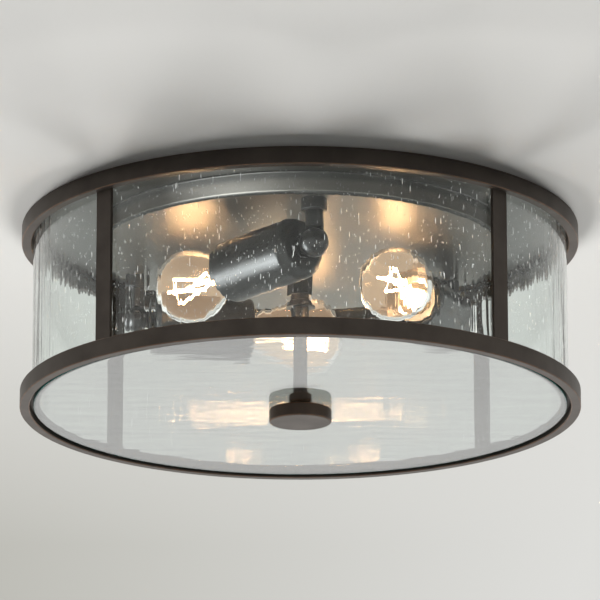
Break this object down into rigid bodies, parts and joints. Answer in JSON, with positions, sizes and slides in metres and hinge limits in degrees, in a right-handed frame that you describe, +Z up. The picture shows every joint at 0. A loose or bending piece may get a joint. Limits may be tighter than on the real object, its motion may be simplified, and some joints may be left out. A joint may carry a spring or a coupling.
{
  "type": "ceiling lantern",
  "caption": "Flush ceiling lantern: seeded-glass drum in flat bronze rings, swivelling lamp sockets inside, and a flat glass floor held up by a disc knob.",
  "frame": {"origin": "on the drum's axis in the ceiling plane, midway between the crossbar's two slots at its upper face", "axes": "+Z up into the ceiling, +X along the crossbar, -Y towards the viewer of the picture"},
  "size_m": [0.4569, 0.457, 0.163],
  "materials": {
    "bronze": "dark bronze, satin, with worn coppery edges",
    "brushed_pan": "satin, finely brushed",
    "zinc_plate": "zinc plated",
    "brass": "plain",
    "bulb_base_metal": "satin",
    "seeded_glass": "clear, seeded and slightly wavy",
    "clear_glass": "clear, faintly green",
    "bulb_glass": "clear, faintly amber",
    "mount_glass": "clear",
    "filament": "glowing warm white",
    "ceramic": "glazed white",
    "gasket": "matte",
    "black_insulation": "plain",
    "white_insulation": "plain",
    "wire_nut_plastic": "plain"
  },
  "bodies": {
    "frame": {"black_leads": "black_insulation", "bottom_gasket": "gasket", "bottom_ring": "bronze", "ceiling_pan": "brushed_pan", "centre_nipple": "zinc_plate", "centre_rod": "bronze", "collar_nut": "bronze", "crossbar": "zinc_plate", "cup_washer": "bronze", "cylinder_gasket": "gasket", "earth_screw": "brass", "glass_cylinder": "seeded_glass", "lock_nuts": "zinc_plate", "pan_screws": "zinc_plate", "pivot_screw_1": "zinc_plate", "pivot_screw_2": "zinc_plate", "pivot_screw_3": "zinc_plate", "post_1": "bronze", "post_2": "bronze", "post_3": "bronze", "post_4": "bronze", "post_screws": "bronze", "rod_coupling": "bronze", "socket_nuts_1": "bronze", "socket_nuts_2": "bronze", "socket_nuts_3": "bronze", "socket_stem_1": "bronze", "socket_stem_2": "bronze", "socket_stem_3": "bronze", "top_gasket": "gasket", "top_ring": "bronze", "white_leads": "white_insulation", "wire_nuts": "wire_nut_plastic"},
    "cover": {"bottom_glass": "clear_glass", "glass_washers": "gasket"},
    "knob": {"finial_knob": "bronze"},
    "socket_1": {"swivel_knuckle_1": "bronze", "socket_cup_1": "bronze", "lamp_holder_1": "ceramic", "lamp_contacts_1": "brass"},
    "bulb_1": {"bulb_base_1": "bulb_base_metal", "bulb_glass_1": "bulb_glass", "bulb_mount_1": "mount_glass", "bulb_filaments_1": "filament"},
    "socket_2": {"swivel_knuckle_2": "bronze", "socket_cup_2": "bronze", "lamp_holder_2": "ceramic", "lamp_contacts_2": "brass"},
    "bulb_2": {"bulb_base_2": "bulb_base_metal", "bulb_glass_2": "bulb_glass", "bulb_mount_2": "mount_glass", "bulb_filaments_2": "filament"},
    "socket_3": {"swivel_knuckle_3": "bronze", "socket_cup_3": "bronze", "lamp_holder_3": "ceramic", "lamp_contacts_3": "brass"},
    "bulb_3": {"bulb_base_3": "bulb_base_metal", "bulb_glass_3": "bulb_glass", "bulb_mount_3": "mount_glass", "bulb_filaments_3": "filament"}
  },
  "joints": [
    {"name": "socket_tilt_1", "type": "hinge", "parent": "frame", "child": "socket_1", "pos_m": [0.00983, -0.15208, -0.056], "axis": [-0.7396, -0.673, 0], "range_deg": [-3.5, 14]},
    {"name": "bulb_out_1", "type": "slide", "parent": "socket_1", "child": "bulb_1", "axis": [-0.6726, 0.7392, -0.0349], "range_m": [0, 0.025]},
    {"name": "socket_tilt_2", "type": "hinge", "parent": "frame", "child": "socket_2", "pos_m": [0.12679, 0.08456, -0.056], "axis": [0.9391, -0.3437, 0], "range_deg": [-3.5, 14]},
    {"name": "bulb_out_2", "type": "slide", "parent": "socket_2", "child": "bulb_2", "axis": [-0.3435, -0.9385, -0.0349], "range_m": [0, 0.025]},
    {"name": "socket_tilt_3", "type": "hinge", "parent": "frame", "child": "socket_3", "pos_m": [-0.13662, 0.06752, -0.056], "axis": [-0.1942, 0.981, 0], "range_deg": [-3.5, 14]},
    {"name": "bulb_out_3", "type": "slide", "parent": "socket_3", "child": "bulb_3", "axis": [0.9804, 0.1941, -0.0349], "range_m": [0, 0.025]},
    {"name": "cover_drop", "type": "slide", "parent": "frame", "child": "cover", "axis": [0, 0, -1], "range_m": [0, 0.007]},
    {"name": "knob_turn", "type": "hinge", "parent": "cover", "child": "knob", "pos_m": [0, 0, -0.1575], "axis": [0, 0, -1], "range_deg": [0, 2521]}
  ],
  "couplings": [
    {"joint": "knob_turn", "follows": "cover_drop", "rad_per_m": 6283.2}
  ]
}
